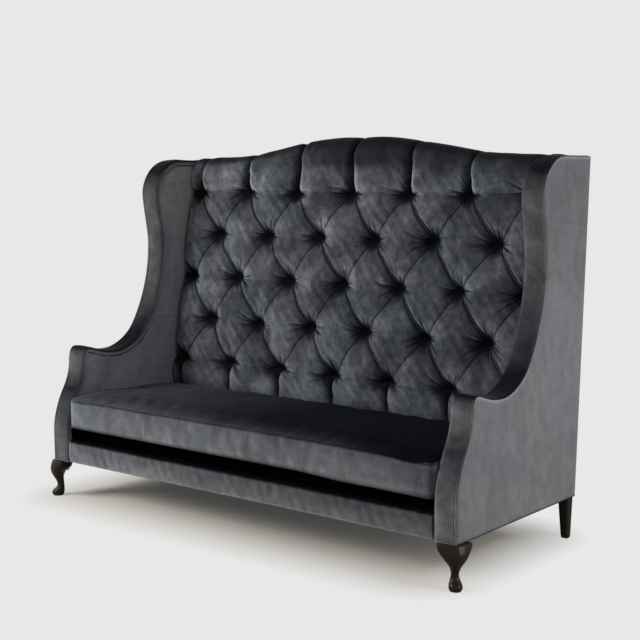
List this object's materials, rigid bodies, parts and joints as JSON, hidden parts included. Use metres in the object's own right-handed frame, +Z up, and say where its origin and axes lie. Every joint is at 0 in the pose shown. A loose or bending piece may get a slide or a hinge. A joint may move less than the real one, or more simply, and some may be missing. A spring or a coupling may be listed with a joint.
{
  "type": "chesterfield sofa",
  "caption": "Tall wing-back settee with a deep-buttoned camel back, a loose bench cushion, scooped arms, short cabriole front legs and square tapered back legs.",
  "frame": {"origin": "on the floor, under the middle of the settee's bounding box", "axes": "+X along the settee to the sitter's left hand, +Y from the front to the back, +Z up"},
  "size_m": [2.1056, 0.9262, 1.5295],
  "materials": {
    "velvet": "charcoal crushed velvet with a mottled nap",
    "black_cloth": "plain black platform cloth",
    "dark_wood": "satin, near-black brown stain",
    "frame_wood": "plain sawn hardwood",
    "steel": "plain spring and bolt steel",
    "jute": "woven jute webbing"
  },
  "bodies": {
    "settee_body": {"inside_back": "velvet", "front_border": "velvet", "outside_back": "velvet", "wing_border_left": "velvet", "wing_border_right": "velvet", "outside_wing_left": "velvet", "outside_wing_right": "velvet", "inside_wing_left": "velvet", "inside_wing_right": "velvet", "seat_deck": "black_cloth", "dust_cover": "black_cloth", "front_leg_left": "dark_wood", "front_leg_right": "dark_wood", "back_leg_left": "dark_wood", "back_leg_right": "dark_wood", "front_rail": "frame_wood", "seat_back_rail": "frame_wood", "back_rail": "frame_wood", "spring_cleat_front": "frame_wood", "spring_cleat_back": "frame_wood", "crest_rail": "frame_wood", "back_stile_1": "frame_wood", "back_stile_2": "frame_wood", "back_stile_3": "frame_wood", "back_stile_4": "frame_wood", "seat_brace_left": "frame_wood", "seat_brace_right": "frame_wood", "side_rail_left": "frame_wood", "side_rail_right": "frame_wood", "arm_post_left": "frame_wood", "arm_post_right": "frame_wood", "arm_rail_left": "frame_wood", "arm_rail_right": "frame_wood", "wing_post_left": "frame_wood", "wing_post_right": "frame_wood", "wing_rail_left": "frame_wood", "wing_rail_right": "frame_wood", "back_post_left": "frame_wood", "back_post_right": "frame_wood", "corner_block_front_left": "frame_wood", "corner_block_front_right": "frame_wood", "corner_block_back_left": "frame_wood", "corner_block_back_right": "frame_wood", "seat_spring_unit": "steel", "leg_bolt_front_left": "steel", "leg_bolt_front_right": "steel", "leg_bolt_back_left": "steel", "leg_bolt_back_right": "steel", "back_web_1": "jute", "back_web_2": "jute", "back_web_3": "jute", "back_web_4": "jute", "back_web_5": "jute"},
    "loose_cushion": {"seat_cushion": "velvet"}
  },
  "joints": [
    {"name": "cushion_lift", "type": "slide", "parent": "settee_body", "child": "loose_cushion", "axis": [0, 0, 1], "range_m": [0, 1.25]}
  ]
}
